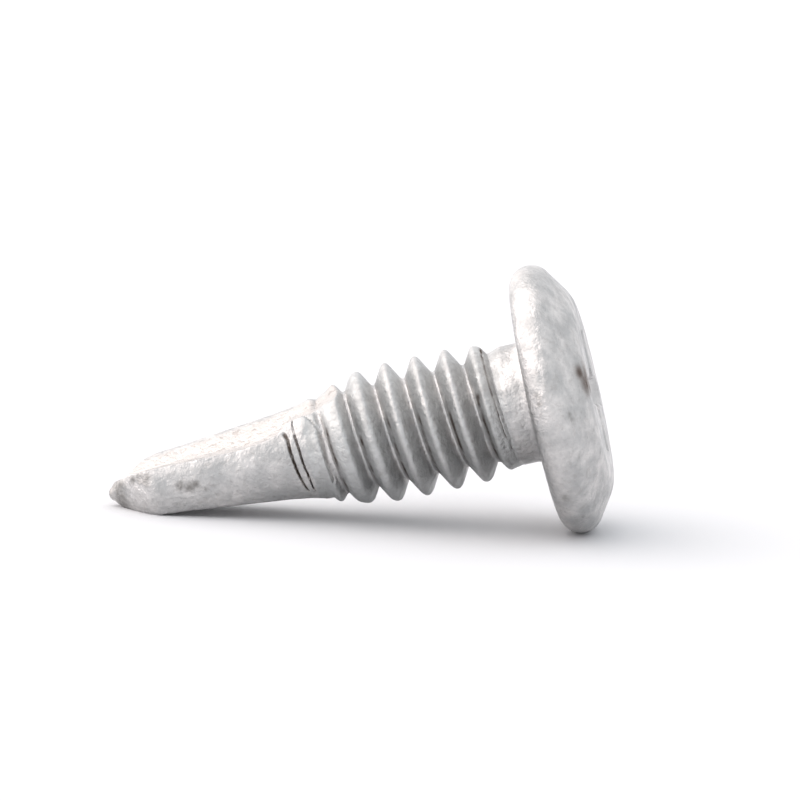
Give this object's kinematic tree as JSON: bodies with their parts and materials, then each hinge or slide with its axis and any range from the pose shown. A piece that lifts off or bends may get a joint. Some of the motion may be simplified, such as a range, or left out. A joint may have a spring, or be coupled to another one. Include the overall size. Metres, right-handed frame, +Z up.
{
  "type": "self drilling screw",
  "caption": "Galvanised self drilling screw with a wide flat wafer head, a driver recess, a fine thread and a forged fluted drill point, lying at rest.",
  "frame": {"origin": "on the floor, under the middle of the lying screw's bounding box", "axes": "+Z up; the screw's length runs along +X from drill point to head, its axis rising towards the head in the XZ plane"},
  "size_m": [0.0174, 0.0094, 0.0091],
  "materials": {
    "zinc_steel": "dull galvanised zinc coat, light grey and slightly uneven"
  },
  "bodies": {
    "root": {"screw": "zinc_steel"}
  },
  "joints": []
}
